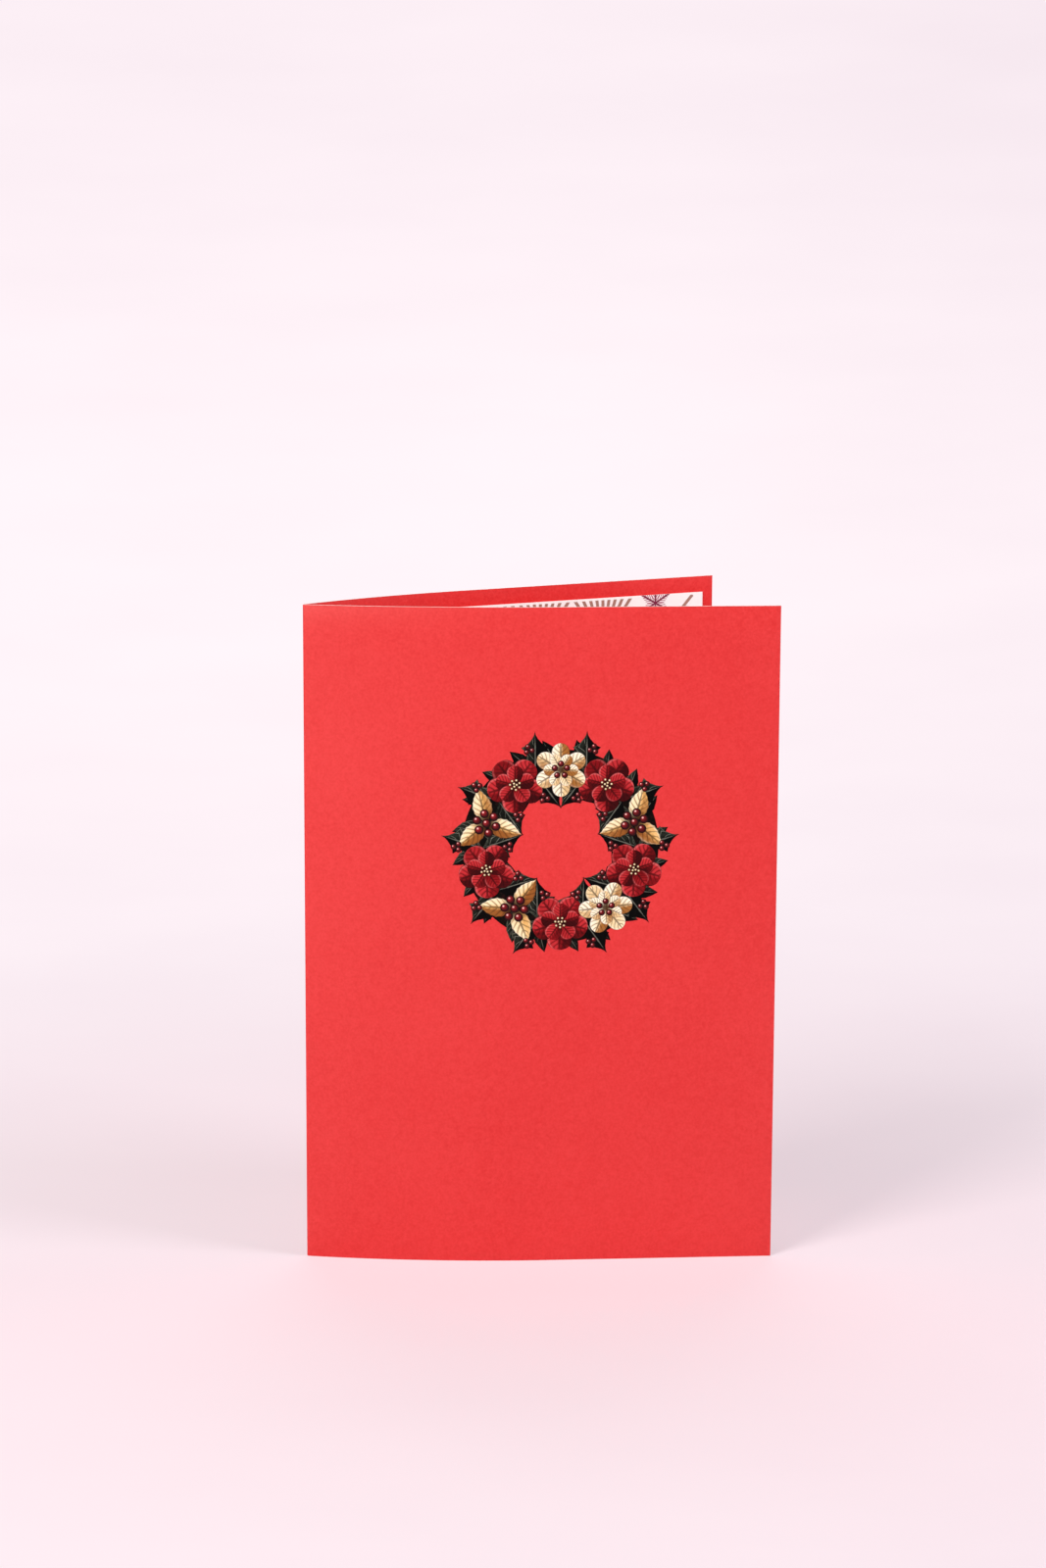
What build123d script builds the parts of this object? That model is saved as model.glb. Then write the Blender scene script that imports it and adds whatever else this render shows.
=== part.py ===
from build123d import *
import math
import os

# Greeting card standing open on its cut edges, in millimetres and degrees.
# Distances along a leaf start at the middle of the fold, and headings are seen from above, from +X
# towards +Y.

# The cover is one sheet of board, creased once. Its width is that of the folded card
card_height = 178.0
card_width = 126.0
board_thickness = 0.5
fold_inner_radius = 0.3

# Each leaf leaves the fold at a heading, bows in towards the other leaf and then runs straight
front_heading = -9.4
front_bow_turn = 13.8
front_bow_length = 65.0
back_heading = 40.7
back_bow_turn = 15.2
back_bow_length = 49.0

# The white panel is glued inside the back leaf, with a margin of board all round
panel_thickness = 0.3
panel_fold_margin = 3.2
panel_free_margin = 3.2
panel_top_margin = 4.4
panel_bottom_margin = 4.4

# Printed colour is a thin film, and a field printed over another lies on it
print_thickness = 0.05

# Wreath printed on the outside of the front leaf
wreath_from_edge = 68.2
wreath_below_top = 63.9
ring_radius = 20.6
foliage_width = 11.0

# Leaves of the wreath. The slim ones stand round both sides of the ring
slim_count = 20
slim_length = 9.4
slim_width = 3.9
slim_lean = 32.0
holly_pairs = 5
holly_start = 54.0
holly_step = 17.0
holly_length = 11.5
holly_width = 7.4
holly_tilt = 18.0
gold_leaf_length = 9.6
gold_leaf_width = 5.4
gold_leaf_spread = 58.0

# Flowers of the wreath
red_count = 5
red_start = 54.0
red_petals = 5
red_petal_length = 7.5
red_petal_width = 6.6
cream_angles = (90.0, 306.0)
cream_petals = 6
cream_petal_length = 7.2
cream_petal_width = 4.8

# Berries lie in clusters between the flowers and in the heart of each cream flower
cluster_angles = (18.0, 162.0, 234.0)
cluster_berries = 6
berry_radius = 1.2
heart_berries = 5
heart_berry_radius = 0.85
berry_gap = 0.25
berry_sides = 8

# Small berries hang in sprigs along both sides of the ring
sprig_count = 10
sprig_berries = 3
sprig_berry_radius = 0.75
sprig_berry_sides = 5
sprig_reach = 6.8

# Seeds lie in two rings in the heart of each red flower
inner_seeds = 3
inner_seed_ring = 0.46
outer_seeds = 7
outer_seed_ring = 1.3
seed_radius = 0.32
seed_sides = 5

# Gold bursts in a band along the top of the panel
band_margin = 0.6
band_height = 12.0
burst_count = 4
burst_gap = 2.2
burst_star_gap = 1.2
burst_rays = 9
ray_width = 0.85
ray_root = 6.6
end_ray_inset = 3.2
end_ray_length = 6.0
end_ray_lean = 42.0

# Pink stars at the ends of the band
star_inset = 14.7
star_below_edge = 2.3
star_points = 6
star_radius = 5.5
star_inner_radius = 2.6


class Leaf:
    """One leaf of the sheet, seen from above, with the fold's centre at (0, 0).

    outside is 1 where the outer face lies to the left of the run from the fold, and -1 to the right.
    """

    def __init__(self, heading, bow_turn, bow_length, outside):
        self.heading = heading
        self.bow_turn = bow_turn
        self.bow_length = bow_length
        self.outside = outside
        self.bow_radius = bow_length / math.radians(bow_turn)

    def run(self, along):
        """Unit vector along the sheet, away from the fold."""
        turned = self.bow_turn * min(along / self.bow_length, 1)
        return Vector(1, 0).rotate(Axis.Z, self.heading - self.outside * turned)

    def outward(self, along):
        """Unit vector out of the leaf's outer face."""
        return self.run(along).rotate(Axis.Z, 90 * self.outside)

    def point(self, along, out=0.0):
        """Point at a distance from the fold, and out from the middle of the board."""
        bent = min(along, self.bow_length)
        bow_centre = self.outward(0) * (fold_inner_radius + board_thickness / 2 - self.bow_radius)
        return bow_centre + self.outward(bent) * (self.bow_radius + out) + self.run(bent) * (along - bent)


def leaf_strip(leaf, start, end, low, high):
    """Add the plan of a layer of a leaf, between two distances from the fold and two heights."""
    middle = (start + leaf.bow_length) / 2
    with BuildLine() as outline:
        for out in (low, high):
            ThreePointArc(
                leaf.point(start, out), leaf.point(middle, out), leaf.point(leaf.bow_length, out)
            )
            Line(leaf.point(leaf.bow_length, out), leaf.point(end, out))
        Line(leaf.point(start, low), leaf.point(start, high))
        Line(leaf.point(end, low), leaf.point(end, high))
    make_face(outline.edges())


fold_outer_radius = fold_inner_radius + board_thickness
leaf_length = card_width - fold_outer_radius
front_leaf = Leaf(front_heading, front_bow_turn, front_bow_length, -1)
back_leaf = Leaf(back_heading, back_bow_turn, back_bow_length, 1)
outer_face = board_thickness / 2
inner_face = -board_thickness / 2
panel_face = inner_face - panel_thickness

# Plan of the folded sheet: both leaves and the rounded crease that joins them
with BuildSketch() as cover_plan:
    for leaf in (front_leaf, back_leaf):
        leaf_strip(leaf, 0, leaf_length, inner_face, outer_face)
    with BuildLine():
        crease_turn = 180 - (back_heading - front_heading)
        for radius in (fold_inner_radius, fold_outer_radius):
            CenterArc((0, 0), radius, back_heading + 90, crease_turn)
        for leaf in (front_leaf, back_leaf):
            Line(leaf.point(0, inner_face), leaf.point(0, outer_face))
    make_face()

# The card stands on XY, centred under its own bounding box, with the front leaf facing -Y
plan_middle = cover_plan.sketch.bounding_box().center()
floor = Plane(origin=(-plan_middle.X, -plan_middle.Y, 0))

with BuildPart() as cover:
    with BuildSketch(floor):
        add(cover_plan.sketch)
    extrude(amount=card_height)

panel_start = panel_fold_margin
panel_end = leaf_length - panel_free_margin
panel_top = card_height - panel_top_margin
with BuildPart() as insert_panel:
    with BuildSketch(floor.offset(panel_bottom_margin)):
        leaf_strip(back_leaf, panel_start, panel_end, panel_face, inner_face)
    extrude(amount=panel_top - panel_bottom_margin)


# Motifs of the wreath, each drawn from its own root with its tip along X

def blade(length, width, *shares):
    """Sketch of a leaf or petal that is the same on both sides.

    Each share is a distance along it and a half width there, as parts of its length and its width.
    """
    with BuildSketch() as outline:
        with BuildLine():
            Polyline((0, 0), *[(along * length, half * width) for along, half in shares], (length, 0))
            mirror(about=Plane.XZ)
        make_face()
    return outline.sketch


def flower(count, length, width):
    """Sketch of a flower of rounded petals."""
    petal = blade(length, width, (0.13, 0.2), (0.28, 0.36), (0.6, 0.5), (0.86, 0.4), (0.95, 0.24))
    with BuildSketch() as petals:
        with PolarLocations(0, count):
            add(petal)
    return petals.sketch


red_flower = flower(red_petals, red_petal_length, red_petal_width)
cream_flower = flower(cream_petals, cream_petal_length, cream_petal_width)
gold_leaf = blade(gold_leaf_length, gold_leaf_width, (0.2, 0.36), (0.5, 0.5), (0.76, 0.32))
slim_leaf = blade(slim_length, slim_width, (0.25, 0.42), (0.65, 0.45))
holly_leaf = blade(
    holly_length, holly_width, (0.26, 0.46), (0.42, 0.3), (0.62, 0.5), (0.74, 0.22)
)

with BuildSketch() as berry_cluster:
    with PolarLocations(2 * berry_radius + berry_gap, cluster_berries):
        RegularPolygon(berry_radius, berry_sides)
    RegularPolygon(berry_radius, berry_sides)

with BuildSketch() as heart_cluster:
    with PolarLocations(2 * heart_berry_radius, heart_berries):
        RegularPolygon(heart_berry_radius, berry_sides)

with BuildSketch() as sprig:
    with PolarLocations(2 * sprig_berry_radius / math.sqrt(sprig_berries), sprig_berries):
        RegularPolygon(sprig_berry_radius, sprig_berry_sides)

with BuildSketch() as seed_head:
    for count, ring in ((inner_seeds, inner_seed_ring), (outer_seeds, outer_seed_ring)):
        with PolarLocations(ring, count):
            RegularPolygon(seed_radius, seed_sides)


# Fields of the wreath, drawn about its centre

def ring_places(angles, reach=0.0):
    """Places round the wreath, that far outside its ring, each with its X pointing outwards."""
    return [Location(Vector(ring_radius + reach, 0).rotate(Axis.Z, angle), angle) for angle in angles]


def round_ring(count, start=0.0):
    """Angles of things that are evenly spaced round the wreath."""
    return [start + index * 360 / count for index in range(count)]


red_places = ring_places(round_ring(red_count, red_start))
cream_places = ring_places(cream_angles)
cluster_places = ring_places(cluster_angles)

with BuildSketch() as foliage:
    RegularPolygon(ring_radius + foliage_width / 2, 2 * slim_count)
    RegularPolygon(ring_radius - foliage_width / 2, 2 * slim_count, mode=Mode.SUBTRACT)
    with Locations(*ring_places(round_ring(slim_count))):
        add(slim_leaf, rotation=slim_lean)
    with Locations(*ring_places(round_ring(slim_count, 180 / slim_count))):
        add(slim_leaf, rotation=180 - slim_lean)
    for side in (-1, 1):
        with Locations(*ring_places(round_ring(holly_pairs, holly_start + side * holly_step))):
            add(holly_leaf, rotation=side * holly_tilt)
            add(holly_leaf, rotation=180 - side * holly_tilt)

with BuildSketch() as cream_flowers:
    with Locations(*cream_places):
        add(cream_flower)

with BuildSketch() as red_flowers:
    with Locations(*red_places):
        add(red_flower)
    add(cream_flowers.sketch, mode=Mode.SUBTRACT)

with BuildSketch() as gold_leaves:
    with Locations(*cluster_places):
        for turn in (-gold_leaf_spread, gold_leaf_spread, 180):
            add(gold_leaf, rotation=turn)
    add(red_flowers.sketch, mode=Mode.SUBTRACT)
    add(cream_flowers.sketch, mode=Mode.SUBTRACT)

with BuildSketch() as berries:
    with Locations(*cluster_places):
        add(berry_cluster.sketch)
    with Locations(*cream_places):
        add(heart_cluster.sketch)
    for reach in (-sprig_reach, sprig_reach):
        with Locations(*ring_places(round_ring(sprig_count), reach)):
            add(sprig.sketch)

with BuildSketch() as seeds:
    with Locations(*red_places):
        add(seed_head.sketch)


# Fields of the panel's band, drawn about the middle of the panel's top edge
panel_middle = (panel_start + panel_end) / 2
panel_half = (panel_end - panel_start) / 2
star_middle = panel_half - star_inset
burst_width = 2 * (star_middle - star_radius - burst_star_gap) / burst_count
burst_spread = 2 * math.degrees(math.atan2((burst_width - burst_gap) / 2, band_height))

with BuildSketch() as gold_rays:
    for index in range(burst_count):
        burst_middle = (index - (burst_count - 1) / 2) * burst_width
        with Locations((burst_middle, -band_margin - band_height)):
            for ray in range(burst_rays):
                lean = (ray / (burst_rays - 1) - 0.5) * burst_spread
                with PolarLocations(ray_root, 1, 90 + lean):
                    Rectangle(2 * band_height, ray_width, align=(Align.MIN, Align.CENTER))
    for side in (-1, 1):
        end_ray = Location((side * (panel_half - end_ray_inset), -band_margin), -90 - side * end_ray_lean)
        with Locations(end_ray):
            Rectangle(end_ray_length, ray_width, align=(Align.MIN, Align.CENTER))
    with Locations((0, -band_margin)):
        Rectangle(
            2 * panel_half, band_height, align=(Align.CENTER, Align.MAX), mode=Mode.INTERSECT
        )

with BuildSketch() as pink_stars:
    for side in (-1, 1):
        with Locations((side * star_middle, -star_below_edge)):
            corners = [
                Vector(star_inner_radius if index % 2 else star_radius, 0).rotate(
                    Axis.Z, 90 + index * 180 / star_points
                )
                for index in range(2 * star_points)
            ]
            Polygon(*corners, align=None)


class PrintedArea:
    """A stretch of a leaf that carries print, with the point of it that the artwork is drawn about.

    surface is its height off the middle of the board, and facing is 1 outside the card and -1 inside.
    """

    def __init__(self, leaf, start, end, bottom, top, surface, facing, along, height):
        self.leaf = leaf
        self.ends = (start, end)
        self.bottom = bottom
        self.top = top
        self.surface = surface
        self.facing = facing
        place = leaf.point(along)
        self.plane = Plane(
            origin=floor.origin + Vector(place.X, place.Y, height),
            x_dir=leaf.run(along),
            z_dir=leaf.outward(along) * facing,
        )

    def field(self, name, shape, films_below=0):
        """Write one colour of the print, cut from a film of ink that follows the leaf."""
        near = self.surface + self.facing * films_below * print_thickness
        far = near + self.facing * print_thickness
        with BuildPart() as ink:
            with BuildSketch(floor.offset(self.bottom)):
                leaf_strip(self.leaf, *self.ends, min(near, far), max(near, far))
            extrude(amount=self.top - self.bottom)
            with BuildSketch(self.plane):
                add(shape)
            extrude(amount=card_width, both=True, mode=Mode.INTERSECT)
        ink.part.label = name
        export_step(ink.part, f"parts/{name}.step")


front_print = PrintedArea(
    front_leaf, 0, leaf_length, 0, card_height, outer_face, 1,
    wreath_from_edge - fold_outer_radius, card_height - wreath_below_top,
)
panel_print = PrintedArea(
    back_leaf, panel_start, panel_end, panel_bottom_margin, panel_top, panel_face, -1,
    panel_middle, panel_top,
)

os.makedirs("parts", exist_ok=True)
cover.part.label = "cover"
export_step(cover.part, "parts/cover.step")
insert_panel.part.label = "insert_panel"
export_step(insert_panel.part, "parts/insert_panel.step")
front_print.field("wreath_foliage", foliage.sketch)
front_print.field("wreath_gold_leaves", gold_leaves.sketch, films_below=1)
front_print.field("wreath_red_flowers", red_flowers.sketch, films_below=1)
front_print.field("wreath_cream_flowers", cream_flowers.sketch, films_below=1)
front_print.field("wreath_berries", berries.sketch, films_below=2)
front_print.field("wreath_seeds", seeds.sketch, films_below=2)
panel_print.field("panel_gold_rays", gold_rays.sketch)
panel_print.field("panel_pink_stars", pink_stars.sketch)
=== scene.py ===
import math
import random

import bmesh
import bpy
from mathutils import Matrix, Vector


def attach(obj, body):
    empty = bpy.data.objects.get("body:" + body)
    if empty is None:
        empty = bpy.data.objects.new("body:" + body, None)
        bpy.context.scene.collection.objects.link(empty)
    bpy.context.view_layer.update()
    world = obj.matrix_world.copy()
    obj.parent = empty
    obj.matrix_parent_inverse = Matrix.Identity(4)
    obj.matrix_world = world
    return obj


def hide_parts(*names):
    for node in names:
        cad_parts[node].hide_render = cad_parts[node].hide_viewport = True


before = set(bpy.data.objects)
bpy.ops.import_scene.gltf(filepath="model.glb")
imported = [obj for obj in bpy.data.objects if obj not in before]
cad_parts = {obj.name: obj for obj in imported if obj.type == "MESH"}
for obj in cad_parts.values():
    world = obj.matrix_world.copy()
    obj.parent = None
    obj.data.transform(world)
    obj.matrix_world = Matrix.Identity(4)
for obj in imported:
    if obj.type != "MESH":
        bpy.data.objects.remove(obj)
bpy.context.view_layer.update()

# A greeting card that stands open on its cut edges. Sizes are in millimetres and degrees, as in the
# CAD model, and turn into metres where a piece is laid on the card.
MILLIMETRE = 0.001
chance = random.Random(12)
scene = bpy.context.scene

# The board and how it is folded
card_height = 178.0
card_width = 126.0
board_thickness = 0.5
fold_inner_radius = 0.3
fold_outer_radius = fold_inner_radius + board_thickness
crease_radius = fold_inner_radius + board_thickness / 2
leaf_length = card_width - fold_outer_radius
front_heading = -9.4
front_bow_turn = 13.8
front_bow_length = 65.0
back_heading = 40.7
back_bow_turn = 15.2
back_bow_length = 49.0
fold_middle = Vector((-61.9666, -27.8559))

# The white panel inside the back leaf
panel_thickness = 0.3
panel_margin = 3.2
panel_top_margin = 4.4
panel_bottom_margin = 4.4

# The sheets are divided finely enough for their bow, and their cut edges are softened by this
# much. The shading of every piece breaks at edges that turn by more than the sharp angle
leaf_steps = 64
crease_steps = 14
panel_steps = 60
height_steps = 24
cut_edge_round = 0.05
sharp_angle = 40

# Ink lies in films of this thickness, one on another. Motifs that overlap in one film have levels
# of their own in it, so that one lies over another. Corners closer than the merge distance
# become one
film = 0.05
merge_distance = 0.0002

# The wreath on the front leaf, about a ring of dark ground
wreath_from_edge = 68.2
wreath_below_top = 63.9
ring_radius = 20.6
foliage_width = 11.0
ground_steps = 96
ground_rows = 10
ground_level = 0.012

# Leaves of the wreath. Their outlines are shares of their length and width
blade_steps = 15
blade_rows = 6
slim_points = [(0, 0), (0.12, 0.24), (0.25, 0.42), (0.45, 0.49), (0.65, 0.45), (0.84, 0.24), (1, 0)]
slim_count = 20
slim_length = 9.4
slim_width = 3.9
slim_hollow = 0.015
slim_leans = (32.0, 148.0)
slim_level = 0.014
slim_level_step = 0.002
slim_levels = 4
holly_points = [(0, 0), (0.26, 0.46), (0.42, 0.3), (0.62, 0.5), (0.74, 0.22), (1, 0)]
holly_pairs = 5
holly_start = 54.0
holly_step = 17.0
holly_length = 11.5
holly_width = 7.4
holly_hollow = 0.05
holly_tilt = 18.0
holly_level = 0.034
holly_turn_lift = 0.003
holly_side_lift = 0.006
gold_leaf_points = [
    (0, 0), (0.2, 0.36), (0.34, 0.46), (0.5, 0.5), (0.64, 0.43), (0.76, 0.32), (0.88, 0.17), (1, 0)
]
gold_leaf_length = 9.6
gold_leaf_width = 5.4
gold_leaf_hollow = 0.022
gold_leaf_turns = (-58.0, 58.0, 180.0)
gold_leaf_steps = 21
gold_leaf_level = 0.006
gold_leaf_level_step = 0.002

# Flowers of the wreath, with the length and width of their outer and inner petals. The edge of a
# petal is a curve that two points pull, also given as shares of its length and width
petal_near_pull = (0.3, 0.6)
petal_far_pull = (0.95, 0.74)
petal_steps = 16
petal_rows = 8
petal_stray = 3
red_count = 5
red_start = 54.0
red_petals = 5
red_petal_sizes = ((7.5, 6.6), (5.2, 4.4))
red_level = 0.012
red_level_step = 0.0018
cream_angles = (90.0, 306.0)
cream_petals = 6
cream_petal_sizes = ((7.2, 4.8), (4.6, 3.2))
cream_level = 0.031
cream_level_step = 0.0015

# Berries lie in clusters, in the middle of cream flowers and in sprigs along both sides of the
# ring, and seeds in two rings in each red flower
cluster_angles = (18.0, 162.0, 234.0)
cluster_berries = 6
berry_radius = 1.2
berry_gap = 0.25
cream_berries = 5
cream_berry_radius = 0.85
sprig_count = 10
sprig_reach = 6.8
sprig_berries = 3
sprig_berry_radius = 0.75
sprig_ring = 0.866
berry_sides = 20
seed_rings = ((3, 0.46), (7, 1.3))
seed_radius = 0.32
seed_sides = 12
ball_level = 0.03
ball_level_step = 0.004
ball_levels = 3
middle_berry_level = 0.042

# The band of bursts and stars along the top of the panel
band_margin = 0.6
band_height = 12.0
burst_count = 4
burst_gap = 2.2
burst_star_gap = 1.2
burst_rays = 9
ray_width = 0.85
ray_root = 6.6
ray_steps = 12
end_ray_inset = 3.2
end_ray_length = 6.0
end_ray_lean = 42.0
star_inset = 14.7
star_below_edge = 2.3
star_points = 6
star_radius = 5.5
star_inner_radius = 2.6
star_cuts = 4

# Light is painted on the motifs as if it came from the upper left
light_way = Vector((-0.6, 0.8))
light_contrast = 1.8
plain_mood = (0.5, 0, 0)

# Depth of the relief of papers and inks, in metres
board_relief = 0.00005
core_relief = 0.00002
paper_relief = 0.000015
ink_relief = 0.000006


# Shaders

class Socket:
    """An output of a shader node that takes part in sums as a number does."""

    def __init__(self, paint, link):
        self.paint = paint
        self.link = link

    def of(self, name):
        """Another output of the same node."""
        return Socket(self.paint, self.link.node.outputs[name])

    def maths(self, operation, *others):
        return self.paint.maths(operation, self, *others)

    def __add__(self, other):
        return self.paint.maths("ADD", self, other)

    def __radd__(self, other):
        return self.paint.maths("ADD", other, self)

    def __sub__(self, other):
        return self.paint.maths("SUBTRACT", self, other)

    def __rsub__(self, other):
        return self.paint.maths("SUBTRACT", other, self)

    def __mul__(self, other):
        return self.paint.maths("MULTIPLY", self, other)

    def __rmul__(self, other):
        return self.paint.maths("MULTIPLY", other, self)

    def __pow__(self, other):
        return self.paint.maths("POWER", self, other)

    def __abs__(self):
        return self.paint.maths("ABSOLUTE", self)


class Paint:
    """The shader nodes of one material, or of the world."""

    def __init__(self, owner):
        self.owner = owner
        owner.use_nodes = True
        self.tree = owner.node_tree
        self.tree.nodes.clear()

    def find(self, sockets, key):
        """The socket with that number, identifier or name."""
        if isinstance(key, int):
            return sockets[key]
        return next(s for s in sockets if key in (s.identifier, s.name))

    def node(self, kind, settings=None, inputs=None, output=0):
        """Add a node, set it up, fill in its inputs and return one of its outputs."""
        made = self.tree.nodes.new(kind)
        for name, value in (settings or {}).items():
            setattr(made, name, value)
        for key, value in (inputs or {}).items():
            socket = self.find(made.inputs, key)
            if isinstance(value, Socket):
                self.tree.links.new(value.link, socket)
            elif socket.type == "RGBA":
                socket.default_value = (*value, 1)
            else:
                socket.default_value = value
        return Socket(self, self.find(made.outputs, output)) if made.outputs else None

    def maths(self, operation, *values):
        return self.node("ShaderNodeMath", {"operation": operation}, dict(enumerate(values)))

    def rise(self, value, low, high):
        """0 up to low, 1 from high, and a smooth rise between them."""
        inputs = {0: value, 1: low, 2: high, 3: 0.0, 4: 1.0}
        return self.node("ShaderNodeMapRange", {"interpolation_type": "SMOOTHSTEP"}, inputs)

    def blend(self, share, first, second):
        """A colour from first, where share is 0, to second, where it is 1."""
        inputs = {"Factor_Float": share, "A_Color": first, "B_Color": second}
        return self.node("ShaderNodeMix", {"data_type": "RGBA"}, inputs, "Result_Color")

    def place(self, kind):
        """Where a point lies, in one of Blender's coordinates."""
        return self.node("ShaderNodeTexCoord", output=kind)

    def split(self, vector):
        """The X and the Y of a vector."""
        parts = self.node("ShaderNodeSeparateXYZ", inputs={0: vector})
        return parts, parts.of("Y")

    def noise(self, scale, detail, place=None, stretch=(1.0, 1.0, 1.0)):
        """Noise from 0 to 1, with this many features to a metre, or to a unit of place."""
        place = place or self.place("Object")
        stretched = self.node("ShaderNodeMapping", inputs={"Vector": place, "Scale": stretch})
        inputs = {"Vector": stretched, "Scale": scale, "Detail": detail}
        return self.node("ShaderNodeTexNoise", inputs=inputs)

    def camera_ray(self):
        """1 for what the camera sees straight away, and 0 for light on its way between things."""
        return self.node("ShaderNodeLightPath", output="Is Camera Ray")

    def motif(self):
        """Where a point lies on its motif: along it from 0 to 1, and across it from -1 to 1.

        On a ball or a star it is the distance from the middle to the right and up, as shares of the
        radius.
        """
        return self.split(self.place("UV"))

    def mood(self):
        """What a whole motif shares: its chance tint, and how its left half faces the light."""
        settings = {"attribute_name": "mood"}
        return self.split(self.node("ShaderNodeAttribute", settings, output="Vector"))

    def finish(self, colour, roughness, sheen, height=None, depth=0.0):
        """Join the nodes to the shader, with a relief of that depth in metres."""
        inputs = {"Base Color": colour, "Roughness": roughness, "Specular IOR Level": sheen}
        if height:
            relief = {"Distance": depth, "Height": height}
            inputs["Normal"] = self.node("ShaderNodeBump", inputs=relief)
        shader = self.node("ShaderNodeBsdfPrincipled", inputs=inputs)
        self.node("ShaderNodeOutputMaterial", inputs={"Surface": shader})
        return self.owner


def new_paint(name):
    """The empty shader of a new material."""
    return Paint(bpy.data.materials.new(name))


def red_board(name, low, high, sheen):
    """Red card with a very fine tooth."""
    paint = new_paint(name)
    tooth = paint.noise(1500, 4)
    mottle = paint.noise(600, 3)
    cloud = paint.noise(28, 2)
    tone = tooth * 0.5 + mottle * 0.3 + cloud * 0.2
    colour = paint.blend(paint.rise(tone, 0.3, 0.7), low, high)
    height = tooth + mottle * 0.6
    return paint.finish(colour, 0.5 + tooth * 0.12, sheen, height, board_relief)


def board_core():
    """The pale middle of the board, where it was cut."""
    paint = new_paint("board_core")
    layers = paint.noise(5000, 3, stretch=(0.3, 0.3, 1.0))
    colour = paint.blend(layers, (0.93, 0.84, 0.80), (1.0, 0.96, 0.94))
    return paint.finish(colour, 0.75 + layers * 0.15, 0.2, layers, core_relief)


def white_paper():
    """Smooth white paper of the panel."""
    paint = new_paint("white_paper")
    fibre = paint.noise(2600, 4)
    cloud = paint.noise(120, 3)
    colour = paint.blend(fibre * 0.5 + cloud * 0.5, (0.95, 0.93, 0.925), (1.0, 0.985, 0.98))
    return paint.finish(colour, 0.62 + fibre * 0.15, 0.3, fibre, paper_relief)


def veins(paint, along, edge, count, slant, thickness):
    """A mask that is 1 on the side veins, and one that is 1 half way between them."""
    wander = paint.noise(420, 2) * 0.5
    turn = (along * count - edge * slant + wander).maths("FRACT")
    near = abs(turn - 0.5) * 2
    return paint.rise(near, 1 - thickness, 1.0), 1 - near


def lit_side(across, side_light):
    """1 on the half of a motif that faces the light and 0 on the other, with a steep rise."""
    side = (across * 2.6).maths("MINIMUM", 1.0).maths("MAXIMUM", -1.0)
    return 0.5 + side * side_light * 0.5


def petal_ink(name, dark, middle, light, glow, vein, vein_count, slant):
    """Printed petals, with a dark root, side veins, a pale rim and one half in the light."""
    paint = new_paint(name)
    along, across = paint.motif()
    tint, side_light = paint.mood()
    edge = abs(across)
    lit = lit_side(across, side_light)
    on_vein, between = veins(paint, along, edge, vein_count, slant, thickness=0.5)
    grain = paint.noise(1500, 3)
    level = lit * 0.7 + along * 0.3 + (tint - 0.5) * 0.4 + (grain - 0.5) * 0.3
    body = paint.blend(paint.rise(level, 0.1, 0.55), dark, middle)
    body = paint.blend(paint.rise(level, 0.4, 0.85) * (0.45 + between * 0.55), body, light)
    rim = paint.rise(edge, 0.7, 0.88) * lit * 0.9
    body = paint.blend(rim * paint.rise(along, 0.2, 0.5) * 0.7, body, glow)
    rib = 1 - paint.rise(edge, 0.05, 0.14)
    line = (on_vein * (1 - edge * 0.5)).maths("MAXIMUM", rib) * (1 - along * 0.25)
    root = 1 - paint.rise(along, 0.1, 0.4)
    outline = paint.rise(edge, 0.9, 0.99)
    shade = (line * 0.9).maths("MAXIMUM", root * 0.95).maths("MAXIMUM", outline * 0.85)
    colour = paint.blend(shade, body, vein)
    return paint.finish(colour, 0.45 + grain * 0.12, 0.08, grain, ink_relief)


def foliage_ink():
    """Printed leaves in near black green, with fine pale veins and one half in the light."""
    black, green = (0.001, 0.001, 0.001), (0.010, 0.013, 0.009)
    swell, vein, rim_green = (0.05, 0.06, 0.045), (0.36, 0.38, 0.31), (0.20, 0.22, 0.16)
    paint = new_paint("foliage_ink")
    along, across = paint.motif()
    tint, side_light = paint.mood()
    edge = abs(across)
    lit = lit_side(across, side_light)
    on_vein, between = veins(paint, along, edge, count=6.0, slant=1.7, thickness=0.18)
    grain = paint.noise(1700, 3)
    level = lit * 0.7 + tint * 0.3 + (grain - 0.5) * 0.5
    body = paint.blend(paint.rise(level, 0.4, 1.0), black, green)
    body = paint.blend(between * paint.rise(level, 0.7, 1.0) * 0.2, body, swell)
    rib = 1 - paint.rise(edge, 0.02, 0.08)
    fade = paint.rise(level, 0.5, 0.95) * (1 - paint.rise(edge, 0.6, 0.95))
    lines = (on_vein * fade).maths("MAXIMUM", rib * 0.6) * (1 - paint.rise(along, 0.75, 1.0))
    body = paint.blend(lines * 0.6, body, vein)
    rim = paint.rise(edge, 0.8, 0.88) * (1 - paint.rise(edge, 0.92, 1.0))
    colour = paint.blend(rim * paint.rise(level, 0.6, 0.95) * 0.4, body, rim_green)
    return paint.finish(colour, 0.45 + grain * 0.12, 0.06, grain, ink_relief)


def ground_ink():
    """The dark ground between the printed leaves."""
    paint = new_paint("ground_ink")
    grain = paint.noise(1100, 4)
    share = paint.rise(grain, 0.4, 0.75)
    colour = paint.blend(share, (0.002, 0.002, 0.001), (0.016, 0.004, 0.004))
    return paint.finish(colour, 0.45 + grain * 0.12, 0.06)


def from_origin(x, y):
    """Distance of (x, y) from (0, 0)."""
    return (x * x + y * y) ** 0.5


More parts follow.
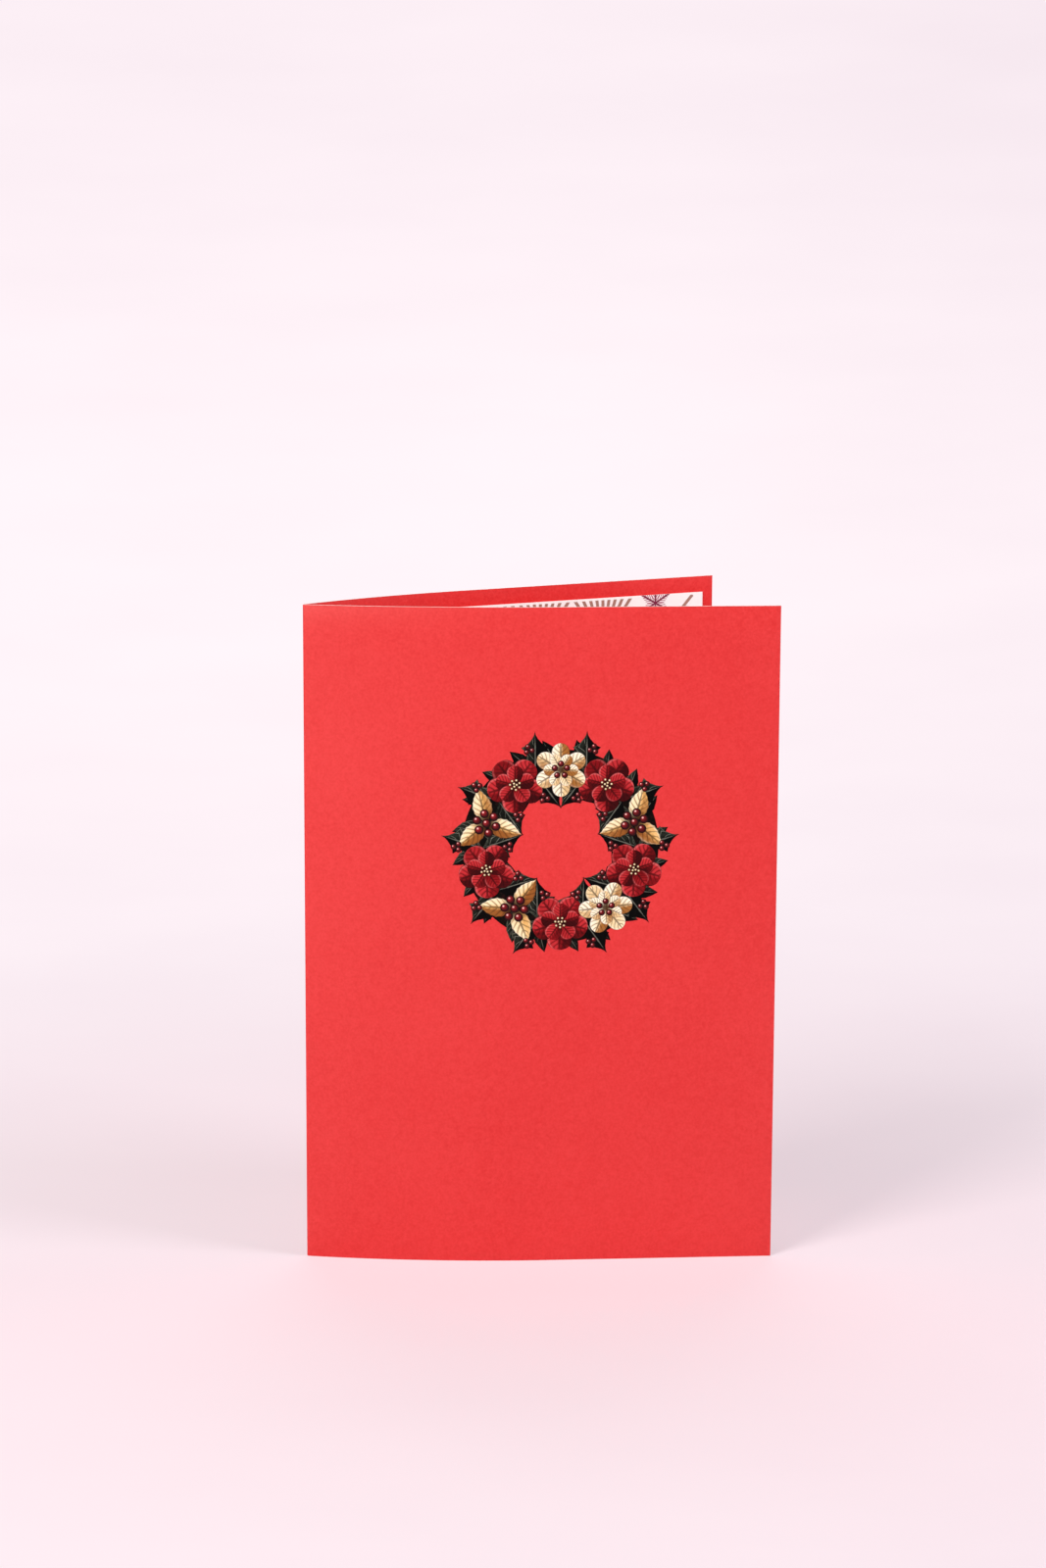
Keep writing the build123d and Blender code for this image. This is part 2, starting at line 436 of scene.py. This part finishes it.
def ball_ink(name, rim, body, glow, spot, shine):
    """Small printed balls, lit from the upper left."""
    paint = new_paint(name)
    x, y = paint.motif()
    tint, _ = paint.mood()
    from_middle = from_origin(x, y)
    to_light = from_origin(x + 0.28, y - 0.32)
    colour = paint.blend(paint.rise(to_light, 0.15, 1.0), glow, body)
    colour = paint.blend((1 - paint.rise(tint, 0.0, 1.0)) * 0.45, colour, body)
    colour = paint.blend(paint.rise(from_middle, 0.5, 0.92), colour, rim)
    colour = paint.blend((1 - paint.rise(to_light, 0.1, 0.3)) * shine, colour, spot)
    return paint.finish(colour, 0.4, 0.15)


def bronze_ink():
    """Brown gold strokes."""
    paint = new_paint("bronze_ink")
    grain = paint.noise(2200, 3)
    streak = paint.noise(260, 2)
    colour = paint.blend(grain * 0.5 + streak * 0.5, (0.30, 0.155, 0.115), (0.47, 0.27, 0.205))
    return paint.finish(colour, 0.42 + grain * 0.15, 0.45)


def pink_ink():
    """Fine pink lines on white that fan out from the six ribs of a star."""
    white, pink, deep_pink = (0.97, 0.93, 0.935), (0.34, 0.012, 0.085), (0.19, 0.005, 0.045)
    paint = new_paint("pink_ink")
    x, y = paint.motif()
    from_middle = from_origin(x, y)
    turn = x.maths("ARCTAN2", y).maths("PINGPONG", math.pi / star_points)
    along = from_middle * turn.maths("COSINE")
    aside = from_middle * turn.maths("SINE")
    hatch = abs(((along - aside * 1.4) * 6.0).maths("FRACT") - 0.5) * 2
    lines = 1 - paint.rise(hatch, 0.2, 0.5)
    rib = 1 - paint.rise(aside, 0.03, 0.07)
    core = 1 - paint.rise(from_middle, 0.07, 0.13)
    mask = lines.maths("MAXIMUM", rib).maths("MAXIMUM", core)
    ink = paint.blend(rib.maths("MAXIMUM", core), pink, deep_pink)
    return paint.finish(paint.blend(mask, white, ink), 0.5 - mask * 0.06, 0.35)


# The folded board, seen from above

def at_angle(degrees):
    """Unit vector at an angle from +X towards +Y."""
    angle = math.radians(degrees)
    return Vector((math.cos(angle), math.sin(angle)))


class Leaf:
    """One leaf of the board, seen from above, with the middle of the fold at (0, 0).

    outside is 1 where the outer face lies to the left of the run from the fold, and -1 where it
    lies to the right.
    """

    def __init__(self, heading, bow_turn, bow_length, outside):
        self.heading = heading
        self.bow_turn = bow_turn
        self.bow_length = bow_length
        self.outside = outside
        self.bow_radius = bow_length / math.radians(bow_turn)

    def run(self, along):
        """Unit vector along the leaf, away from the fold."""
        turned = self.bow_turn * min(along / self.bow_length, 1)
        return at_angle(self.heading - self.outside * turned)

    def outward(self, along):
        """Unit vector out of the leaf's outer face."""
        run = self.run(along)
        return Vector((-run.y, run.x)) * self.outside

    def place(self, along, out):
        """Point at a distance from the fold, and out from the middle of the board."""
        bent = min(along, self.bow_length)
        bow_middle = self.outward(0) * (crease_radius - self.bow_radius)
        end = self.run(bent) * (along - bent)
        return bow_middle + self.outward(bent) * (self.bow_radius + out) + end


front_leaf = Leaf(front_heading, front_bow_turn, front_bow_length, -1)
back_leaf = Leaf(back_heading, back_bow_turn, back_bow_length, 1)
outer_face = board_thickness / 2
inner_face = -board_thickness / 2
panel_face = inner_face - panel_thickness

crease_turn = 180 - (back_heading - front_heading)
crease_length = crease_radius * math.radians(crease_turn)


def folded(along, out):
    """Point of the folded board, where along is 0 on the crease and negative on the front leaf."""
    past_crease = abs(along) - crease_length / 2
    if past_crease >= 0:
        return (back_leaf if along > 0 else front_leaf).place(past_crease, out)
    turned = (0.5 - along / crease_length) * crease_turn
    return at_angle(back_heading + 90 + turned) * (crease_radius + out)


def stand_up(mesh, place):
    """Turn a flat drawing, with X along the card, Y up and Z out of it, into the standing card."""
    for vert in mesh.verts:
        plan = (place(vert.co.x, vert.co.z) + fold_middle) * MILLIMETRE
        vert.co = (plan.x, plan.y, vert.co.y * MILLIMETRE)
    bmesh.ops.recalc_face_normals(mesh, faces=mesh.faces)


def thicken(mesh, faces, thickness):
    """Give flat faces a back, that far below them, and walls."""
    verts = {vert for face in faces for vert in face.verts}
    edges = {edge for face in faces for edge in face.edges}
    geometry = [*faces, *edges, *verts]
    made = bmesh.ops.extrude_face_region(mesh, geom=geometry, use_keep_orig=True)["geom"]
    below = [part for part in made if isinstance(part, bmesh.types.BMVert)]
    bmesh.ops.translate(mesh, verts=below, vec=(0, 0, -thickness))


def add_object(name, data):
    """Put a new object in the scene."""
    made = bpy.data.objects.new(name, data)
    scene.collection.objects.link(made)
    return made


def add_mesh(name, mesh, finishes):
    """Put a new object in the scene that takes over a mesh."""
    data = bpy.data.meshes.new(name)
    mesh.to_mesh(data)
    mesh.free()
    for finish in finishes:
        data.materials.append(finish)
    return add_object(name, data)


def piece(name, mesh, finishes, node):
    """Make a finished piece of the card that stands for a node of the CAD model."""
    made = add_mesh(name, mesh, finishes)
    made.data.shade_smooth()
    made.data.set_sharp_from_angle(angle=math.radians(sharp_angle))
    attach(made, "root")
    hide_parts(node)


def even(start, end, count):
    """Numbers from start to end, in that many equal steps."""
    return [start + (end - start) * step / count for step in range(count + 1)]


def cut_sheet(stations, bottom, top, front, thickness):
    """A flat sheet with softened cut edges.

    Its front takes the first finish, its walls the second and its back the third.
    """
    mesh = bmesh.new()
    last = len(stations) - 1
    bmesh.ops.create_grid(mesh, x_segments=last, y_segments=height_steps, size=1)
    for vert in mesh.verts:
        station = round((vert.co.x + 1) / 2 * last)
        height = bottom + (top - bottom) * (vert.co.y + 1) / 2
        vert.co = (stations[station], height, front)
    thicken(mesh, mesh.faces[:], thickness)
    for face in mesh.faces:
        depth = (front - face.calc_center_median().z) / thickness
        face.material_index = round(2 * depth)
    rims = [
        edge for edge in mesh.edges
        if len({face.material_index for face in edge.link_faces}) == 2
    ]
    bmesh.ops.bevel(
        mesh, geom=rims, offset=cut_edge_round, offset_type="OFFSET", segments=2,
        profile=0.5, affect="EDGES", material=-1,
    )
    return mesh


# The cover, cut flat and folded once
crease_end = crease_length / 2
cover_stations = [
    *even(-crease_end - leaf_length, -crease_end, leaf_steps)[:-1],
    *even(-crease_end, crease_end, crease_steps),
    *even(crease_end, crease_end + leaf_length, leaf_steps)[1:],
]
cover = cut_sheet(cover_stations, 0, card_height, outer_face, board_thickness)
stand_up(cover, folded)
outside = red_board("red_board", (0.67, 0.0, 0.0), (0.75, 0.020, 0.020), sheen=0.74)
# The inner faces take a copy of the board with less sheen, whose red is painted lighter to stand in
# for light that the inside of the fold does not get
lightened_inside = red_board("red_board_inside", (0.74, 0.0, 0.0), (0.82, 0.020, 0.020), sheen=0.42)
piece("card_cover", cover, [outside, board_core(), lightened_inside], "cover")

# The panel, glued inside the back leaf
panel_start = panel_margin
panel_end = leaf_length - panel_margin
panel_top = card_height - panel_top_margin
panel_stations = even(panel_start, panel_end, panel_steps)
panel = cut_sheet(panel_stations, panel_bottom_margin, panel_top, inner_face, panel_thickness)
stand_up(panel, back_leaf.place)
paper = white_paper()
piece("card_panel", panel, [paper, paper, paper], "insert_panel")


# Printed motifs, drawn flat about the middle of their artwork

class Drawing:
    """The motifs of one colour, with X to the right, Y up and Z out of the paper."""

    def __init__(self):
        self.mesh = bmesh.new()
        self.uv = self.mesh.loops.layers.uv.new("motif")
        self.mood = self.mesh.verts.layers.float_vector.new("mood")

    def press(self, verts, shares, level, mood, finish=0):
        """Write a flat shape's place on its motif, and make it a film as high as level."""
        faces = list({face for vert in verts for face in vert.link_faces})
        for vert in verts:
            vert[self.mood] = mood
            vert.co.z = level
        for face in faces:
            face.material_index = finish
            for loop in face.loops:
                loop[self.uv].uv = shares[loop.vert]
        thicken(self.mesh, faces, level)

    def press_plain(self, level, finish=0):
        """Make the whole drawing a film whose finish is the same all over."""
        verts = self.mesh.verts[:]
        self.press(verts, {vert: (0, 0) for vert in verts}, level, plain_mood, finish)

    def blade(self, outline, root, heading, level, steps=blade_steps, rows=blade_rows):
        """A petal or leaf that runs from its root at a heading."""
        turn = Matrix.Rotation(math.radians(heading), 2)
        grid = bmesh.ops.create_grid(self.mesh, x_segments=steps, y_segments=rows, size=1)
        tip = outline(1.0)[0]
        shares = {}
        for vert in grid["verts"]:
            along, half_width = outline((vert.co.x + 1) / 2)
            across = vert.co.y
            shares[vert] = (along / tip, across)
            vert.co.xy = root + turn @ Vector((along, across * half_width))
        side_light = (turn @ Vector((0, 1))).dot(light_way) * light_contrast
        mood = (chance.random(), max(-1, min(1, side_light)), 0)
        self.press(grid["verts"], shares, level, mood)

    def ball(self, middle, radius, level, sides=berry_sides):
        """A berry or a seed."""
        circle = bmesh.ops.create_circle(self.mesh, cap_ends=True, segments=sides, radius=1)
        shares = {vert: tuple(vert.co.xy) for vert in circle["verts"]}
        for vert in circle["verts"]:
            vert.co.xy = middle + vert.co.xy * radius
        self.press(circle["verts"], shares, level, (chance.random(), 0, 0))

    def ball_ring(self, middle, heading, count, spread, radius, sides=berry_sides):
        """Berries or seeds evenly spaced round a point, the first of them at a heading."""
        for index in range(count):
            place = middle + at_angle(heading + index * 360 / count) * spread
            level = ball_level + ball_level_step * (index % ball_levels)
            self.ball(place, radius, level, sides)

    def bloom(self, middle, heading, petals, sizes, level, level_step):
        """A flower of rings of petals, each turned half a petal from the one below it."""
        for ring, (length, width) in enumerate(sizes):
            outline = petal(length, width)
            for index in range(petals):
                level += level_step
                stray = chance.uniform(-petal_stray, petal_stray)
                turn = heading + (index * 2 + ring) * 180 / petals + stray
                self.blade(outline, middle, turn, level, petal_steps, petal_rows)

    def stroke(self, start, heading, length):
        """A straight stroke of a pen, not pressed yet."""
        turn = Matrix.Rotation(math.radians(heading), 2)
        grid = bmesh.ops.create_grid(self.mesh, x_segments=ray_steps, y_segments=1, size=1)
        for vert in grid["verts"]:
            along = (vert.co.x + 1) / 2 * length
            vert.co.xy = start + turn @ Vector((along, vert.co.y * ray_width / 2))

    def trim(self, height, keep_below):
        """Cut the drawing off along a level line."""
        bmesh.ops.bisect_plane(
            self.mesh, geom=[*self.mesh.verts, *self.mesh.edges, *self.mesh.faces],
            plane_co=(0, height, 0), plane_no=(0, 1 if keep_below else -1, 0), clear_outer=True,
        )

    def lay_on(self, leaf, surface, facing, middle, height):
        """Wrap the drawing on a leaf, about a point of it, as ink on its outer or inner face."""
        def place(across, out):
            return leaf.place(middle + across, surface + facing * out)
        bmesh.ops.translate(self.mesh, verts=self.mesh.verts, vec=(0, height, 0))
        bmesh.ops.remove_doubles(self.mesh, verts=self.mesh.verts, dist=merge_distance)
        stand_up(self.mesh, place)
        return self.mesh


def petal(length, width):
    """Outline of a rounded petal: the distance along it and half its width there."""
    def outline(share):
        near, far = 3 * (1 - share) ** 2 * share, 3 * (1 - share) * share ** 2
        along = petal_near_pull[0] * near + petal_far_pull[0] * far + share ** 3
        half = petal_near_pull[1] * near + petal_far_pull[1] * far
        return along * length, half * width
    return outline


def leaf_shape(points, length, width, hollow):
    """Outline of a leaf through points, with its edge hollow between them."""
    def outline(share):
        place = min(share, 1) * (len(points) - 1)
        step = min(int(place), len(points) - 2)
        part = place - step
        (x0, y0), (x1, y1) = points[step], points[step + 1]
        half = y0 + (y1 - y0) * part - hollow * math.sin(math.pi * part)
        return (x0 + (x1 - x0) * part) * length, max(half, 0) * width
    return outline


def on_wreath(angle, reach=0.0):
    """Point of the wreath at an angle, that far outside its ring."""
    return at_angle(angle) * (ring_radius + reach)


def on_front(drawing, films_below):
    """Lay a drawing of the wreath on the front leaf, over that many films."""
    surface = outer_face + films_below * film
    along = wreath_from_edge - fold_outer_radius
    return drawing.lay_on(front_leaf, surface, 1, along, card_height - wreath_below_top)


red_angles = [red_start + index * 360 / red_count for index in range(red_count)]

# Foliage: a dark ground, slim leaves over it and pairs of holly leaves on top
foliage = Drawing()
ground = foliage.mesh
bmesh.ops.create_grid(ground, x_segments=ground_steps, y_segments=ground_rows, size=1)
for vert in ground.verts:
    vert.co.xy = on_wreath(vert.co.x * 180, vert.co.y * foliage_width / 2)
bmesh.ops.remove_doubles(ground, verts=ground.verts, dist=merge_distance)
foliage.press_plain(ground_level, finish=1)

slim_leaf = leaf_shape(slim_points, slim_length, slim_width, slim_hollow)
for row, lean in enumerate(slim_leans):
    for index in range(slim_count):
        angle = (index + 0.5 * row) * 360 / slim_count
        level = slim_level + slim_level_step * (index % slim_levels + slim_levels * row)
        foliage.blade(slim_leaf, on_wreath(angle), angle + lean, level)

holly_leaf = leaf_shape(holly_points, holly_length, holly_width, holly_hollow)
for index in range(2 * holly_pairs):
    side = 1 if index % 2 else -1
    angle = holly_start + index // 2 * 360 / holly_pairs + side * holly_step
    for lift, turn in enumerate((side * holly_tilt, 180 - side * holly_tilt)):
        level = holly_level + holly_turn_lift * lift + holly_side_lift * (index % 2)
        foliage.blade(holly_leaf, on_wreath(angle), angle + turn, level)
foliage_inks = [foliage_ink(), ground_ink()]
piece("wreath_leaves", on_front(foliage, 0), foliage_inks, "wreath_foliage")

# Gold leaves, three to a cluster of berries
gold_leaves = Drawing()
gold_leaf = leaf_shape(gold_leaf_points, gold_leaf_length, gold_leaf_width, gold_leaf_hollow)
for angle in cluster_angles:
    for order, turn in enumerate(gold_leaf_turns):
        level = gold_leaf_level + gold_leaf_level_step * order
        gold_leaves.blade(gold_leaf, on_wreath(angle), angle + turn, level, gold_leaf_steps)
gold_ink = petal_ink(
    "gold_ink", dark=(0.30, 0.10, 0.02), middle=(0.84, 0.50, 0.16), light=(0.97, 0.87, 0.58),
    glow=(0.98, 0.92, 0.72), vein=(0.045, 0.018, 0.008), vein_count=6.0, slant=1.5,
)
piece("wreath_gilt_leaves", on_front(gold_leaves, 1), [gold_ink], "wreath_gold_leaves")

red_flowers = Drawing()
for angle in red_angles:
    middle = on_wreath(angle)
    red_flowers.bloom(middle, angle, red_petals, red_petal_sizes, red_level, red_level_step)
red_ink = petal_ink(
    "deep_red_ink", dark=(0.045, 0.001, 0.002), middle=(0.27, 0.006, 0.009),
    light=(0.56, 0.030, 0.036), glow=(0.74, 0.15, 0.15), vein=(0.014, 0.0005, 0.001),
    vein_count=6.5, slant=1.7,
)
piece(
    "wreath_red_blooms", on_front(red_flowers, 1), [red_ink],
    "wreath_red_flowers",
)

cream_flowers = Drawing()
for angle in cream_angles:
    middle = on_wreath(angle)
    cream_flowers.bloom(
        middle, angle, cream_petals, cream_petal_sizes, cream_level, cream_level_step
    )
cream_ink = petal_ink(
    "cream_ink", dark=(0.36, 0.14, 0.03), middle=(0.88, 0.66, 0.34), light=(0.98, 0.93, 0.76),
    glow=(1.0, 0.97, 0.86), vein=(0.05, 0.022, 0.009), vein_count=6.0, slant=1.6,
)
piece(
    "wreath_cream_blooms", on_front(cream_flowers, 1), [cream_ink],
    "wreath_cream_flowers",
)

# Berries in clusters and in the cream flowers, and small ones along the ring
berries = Drawing()
for angle in cluster_angles:
    middle = on_wreath(angle)
    berries.ball(middle, berry_radius, middle_berry_level)
    berries.ball_ring(middle, angle, cluster_berries, 2 * berry_radius + berry_gap, berry_radius)
for angle in cream_angles:
    berries.ball_ring(
        on_wreath(angle), angle, cream_berries, 2 * cream_berry_radius, cream_berry_radius
    )
for index in range(sprig_count):
    angle = index * 360 / sprig_count
    for reach in (-sprig_reach, sprig_reach):
        middle = on_wreath(angle, reach)
        berries.ball_ring(middle, angle, sprig_berries, sprig_ring, sprig_berry_radius)
berry_ink = ball_ink(
    "berry_ink", rim=(0.006, 0.0004, 0.0006), body=(0.055, 0.0012, 0.003),
    glow=(0.34, 0.010, 0.015), spot=(0.95, 0.62, 0.58), shine=0.9,
)
piece("wreath_fruit", on_front(berries, 2), [berry_ink], "wreath_berries")

seeds = Drawing()
for angle in red_angles:
    for count, spread in seed_rings:
        seeds.ball_ring(on_wreath(angle), angle, count, spread, seed_radius, seed_sides)
seed_ink = ball_ink(
    "seed_ink", rim=(0.16, 0.07, 0.02), body=(0.75, 0.58, 0.30), glow=(0.97, 0.90, 0.68),
    spot=(1.0, 0.97, 0.86), shine=0.8,
)
piece("wreath_pollen", on_front(seeds, 2), [seed_ink], "wreath_seeds")


# The band along the top of the panel, drawn about the middle of the panel's top edge
panel_middle = (panel_start + panel_end) / 2
panel_half = (panel_end - panel_start) / 2
star_middle = panel_half - star_inset
burst_width = 2 * (star_middle - star_radius - burst_star_gap) / burst_count
burst_spread = 2 * math.degrees(math.atan2((burst_width - burst_gap) / 2, band_height))


def on_panel(drawing):
    """Lay a drawing of the band on the panel."""
    return drawing.lay_on(back_leaf, panel_face, -1, panel_middle, panel_top)


rays = Drawing()
for index in range(burst_count):
    burst_middle = (index - (burst_count - 1) / 2) * burst_width
    foot = Vector((burst_middle, -band_margin - band_height))
    for ray in range(burst_rays):
        heading = 90 + (ray / (burst_rays - 1) - 0.5) * burst_spread
        rays.stroke(foot + at_angle(heading) * ray_root, heading, 2 * band_height)
for side in (-1, 1):
    start = Vector((side * (panel_half - end_ray_inset), -band_margin))
    rays.stroke(start, -90 - side * end_ray_lean, end_ray_length)
rays.trim(-band_margin, keep_below=True)
rays.trim(-band_margin - band_height, keep_below=False)
rays.press_plain(film)
piece("panel_rays", on_panel(rays), [bronze_ink()], "panel_gold_rays")

# A star is a circle whose corners are pushed out to its tips or drawn in between them
stars = Drawing()
for side in (-1, 1):
    circle = bmesh.ops.create_circle(
        stars.mesh, cap_ends=True, cap_tris=True, segments=2 * star_points, radius=1,
    )
    for vert in circle["verts"]:
        turned = round(math.degrees(math.atan2(vert.co.y, vert.co.x))) % (360 // star_points)
        reach = star_radius if turned == 180 // star_points else star_inner_radius
        vert.co.xy = vert.co.xy * reach + Vector((side * star_middle, -star_below_edge))
bmesh.ops.subdivide_edges(
    stars.mesh, edges=stars.mesh.edges, cuts=star_cuts, use_grid_fill=True
)
stars.trim(0, keep_below=True)
star_shares = {}
for vert in stars.mesh.verts:
    side = 1 if vert.co.x > 0 else -1
    from_middle = vert.co.xy - Vector((side * star_middle, -star_below_edge))
    star_shares[vert] = (from_middle / star_radius)[:]
stars.press(stars.mesh.verts[:], star_shares, film, plain_mood)
piece("panel_stars", on_panel(stars), [pink_ink()], "panel_pink_stars")


# The studio, in metres: a pale floor that fades into the backdrop, three soft lamps and an even sky
floor_half_width = 8
floor_gap = 0.00003
lamp_target = Vector((0, 0, 0.08))


def backdrop(paint):
    """The backdrop's colour in the frame, with faint streaks.

    A pool of light is painted along a level band behind the card, with painted shade away from it
    and at the right.
    """
    bright, dim = (1.03, 0.924, 0.967), (0.93, 0.815, 0.873)
    window = paint.place("Window")
    across, up = paint.split(window)
    streaks = paint.noise(3.0, 3, window, stretch=(1.0, 7.0, 1.0))
    # Painted shade grows away from the bright band and towards the right
    from_band = paint.rise(abs(up - 0.65), 0.0, 0.32)
    to_right = paint.rise(across, 0.6, 1.0)
    share = 0.05 + from_band * 0.5 + to_right * 0.35 + (streaks - 0.5) * 0.6
    return paint.blend(share, bright, dim)


def floor_finish():
    """A pale floor that keeps shadows near the card and turns into the backdrop far from it."""
    paint = new_paint("studio_floor")
    place = paint.place("Object")
    distance = paint.node("ShaderNodeVectorMath", {"operation": "LENGTH"}, {0: place}, "Value")
    _, back = paint.split(place)
    near = 0.28 + paint.rise(back, -0.06, -0.01) * 0.2
    far = near + (1 - near) * paint.rise(distance, 0.08, 0.42)
    matte = paint.node("ShaderNodeBsdfDiffuse", inputs={"Color": (0.99, 0.80, 0.87)})
    glow = paint.node("ShaderNodeEmission", inputs={"Color": backdrop(paint), "Strength": 1.0})
    inputs = {0: far * paint.camera_ray(), 1: matte, 2: glow}
    mixed = paint.node("ShaderNodeMixShader", inputs=inputs)
    paint.node("ShaderNodeOutputMaterial", inputs={"Surface": mixed})
    return paint.owner


floor_mesh = bmesh.new()
bmesh.ops.create_grid(floor_mesh, x_segments=8, y_segments=8, size=floor_half_width)
bmesh.ops.translate(floor_mesh, verts=floor_mesh.verts, vec=(0, 0, -floor_gap))
floor = add_mesh("floor", floor_mesh, [floor_finish()])


def softbox(name, place, size, power, colour):
    """A large square lamp that points at the card."""
    lamp = bpy.data.lights.new(name, "AREA")
    lamp.shape = "SQUARE"
    lamp.size = size
    lamp.energy = power
    lamp.color = colour
    holder = add_object(name, lamp)
    holder.location = place
    holder.rotation_euler = (lamp_target - Vector(place)).to_track_quat("-Z", "Y").to_euler()
    holder.visible_camera = False


softbox("lamp_left", (-0.827, -0.967, 0.875), size=0.6, power=17.2, colour=(1.0, 0.98, 0.92))
softbox("lamp_right", (1.225, -0.433, 0.83), size=0.6, power=10.6, colour=(0.95, 0.97, 1.0))
softbox("lamp_behind", (0, 1.2, 1.08), size=1.2, power=6.0, colour=(1.0, 1.0, 1.0))

sky = Paint(bpy.data.worlds.new("sky"))
seen = sky.node("ShaderNodeBackground", inputs={"Color": backdrop(sky), "Strength": 1.0})
glow = {"Color": (1.0, 0.97, 0.98), "Strength": 0.2}
lighting = sky.node("ShaderNodeBackground", inputs=glow)
mixed_sky = sky.node("ShaderNodeMixShader", inputs={0: sky.camera_ray(), 1: lighting, 2: seen})
sky.node("ShaderNodeOutputWorld", inputs={"Surface": mixed_sky})
scene.world = sky.owner

# The camera, as fitted to the corners of the card in the photograph
camera_data = bpy.data.cameras.new("camera")
camera_data.sensor_width = 36.0
camera_data.lens = 87.76
camera = add_object("camera", camera_data)
camera_place = Matrix.Translation((-0.004839, -1.021253, 0.32101))
camera_tilt = Matrix.Rotation(math.radians(90 - 10.871), 4, "X")
camera_roll = Matrix.Rotation(math.radians(0.2356), 4, "Z")
camera.matrix_world = camera_place @ camera_tilt @ camera_roll
scene.camera = camera
scene.view_settings.view_transform = "Standard"
